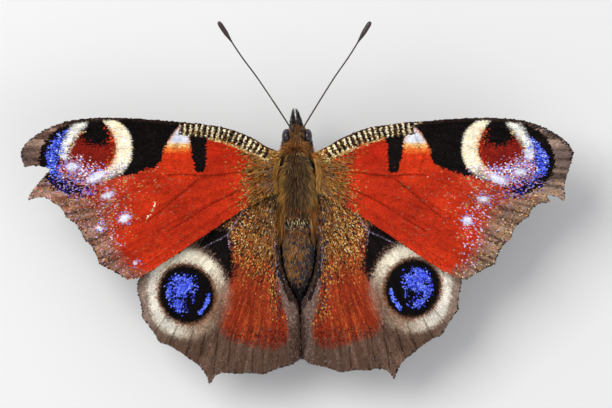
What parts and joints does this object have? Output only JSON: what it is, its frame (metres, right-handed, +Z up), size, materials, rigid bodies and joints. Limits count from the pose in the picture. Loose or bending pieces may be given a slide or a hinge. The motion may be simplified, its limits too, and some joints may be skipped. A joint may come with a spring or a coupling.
{
  "type": "peacock butterfly",
  "caption": "Life-size peacock butterfly at rest, wings spread flat with scalloped edges and eye markings, standing on its walking legs.",
  "frame": {"origin": "on the floor, under the middle of the bounding box of the butterfly", "axes": "+Y towards the head, +X towards the butterfly's right side, +Z up, away from the floor"},
  "size_m": [0.0602, 0.0396, 0.0138],
  "materials": {
    "body_hair": "matt hair",
    "wing_scales": "matt scales",
    "eye_gloss": "gloss",
    "horn": "satin"
  },
  "bodies": {
    "root": {"head": "body_hair", "thorax": "body_hair", "abdomen": "body_hair", "eye_left": "eye_gloss", "eye_right": "eye_gloss", "palp_left": "body_hair", "palp_right": "body_hair", "antenna_left": "horn", "antenna_right": "horn", "proboscis": "horn", "forewing_left": "wing_scales", "forewing_right": "wing_scales", "hindwing_left": "wing_scales", "hindwing_right": "wing_scales", "foreleg_left": "body_hair", "foreleg_right": "body_hair", "midleg_left_femur": "horn", "midleg_left_tibia": "horn", "midleg_left_tarsus": "horn", "midleg_right_femur": "horn", "midleg_right_tibia": "horn", "midleg_right_tarsus": "horn", "hindleg_left_femur": "horn", "hindleg_left_tibia": "horn", "hindleg_left_tarsus": "horn", "hindleg_right_femur": "horn", "hindleg_right_tibia": "horn", "hindleg_right_tarsus": "horn"}
  },
  "joints": []
}
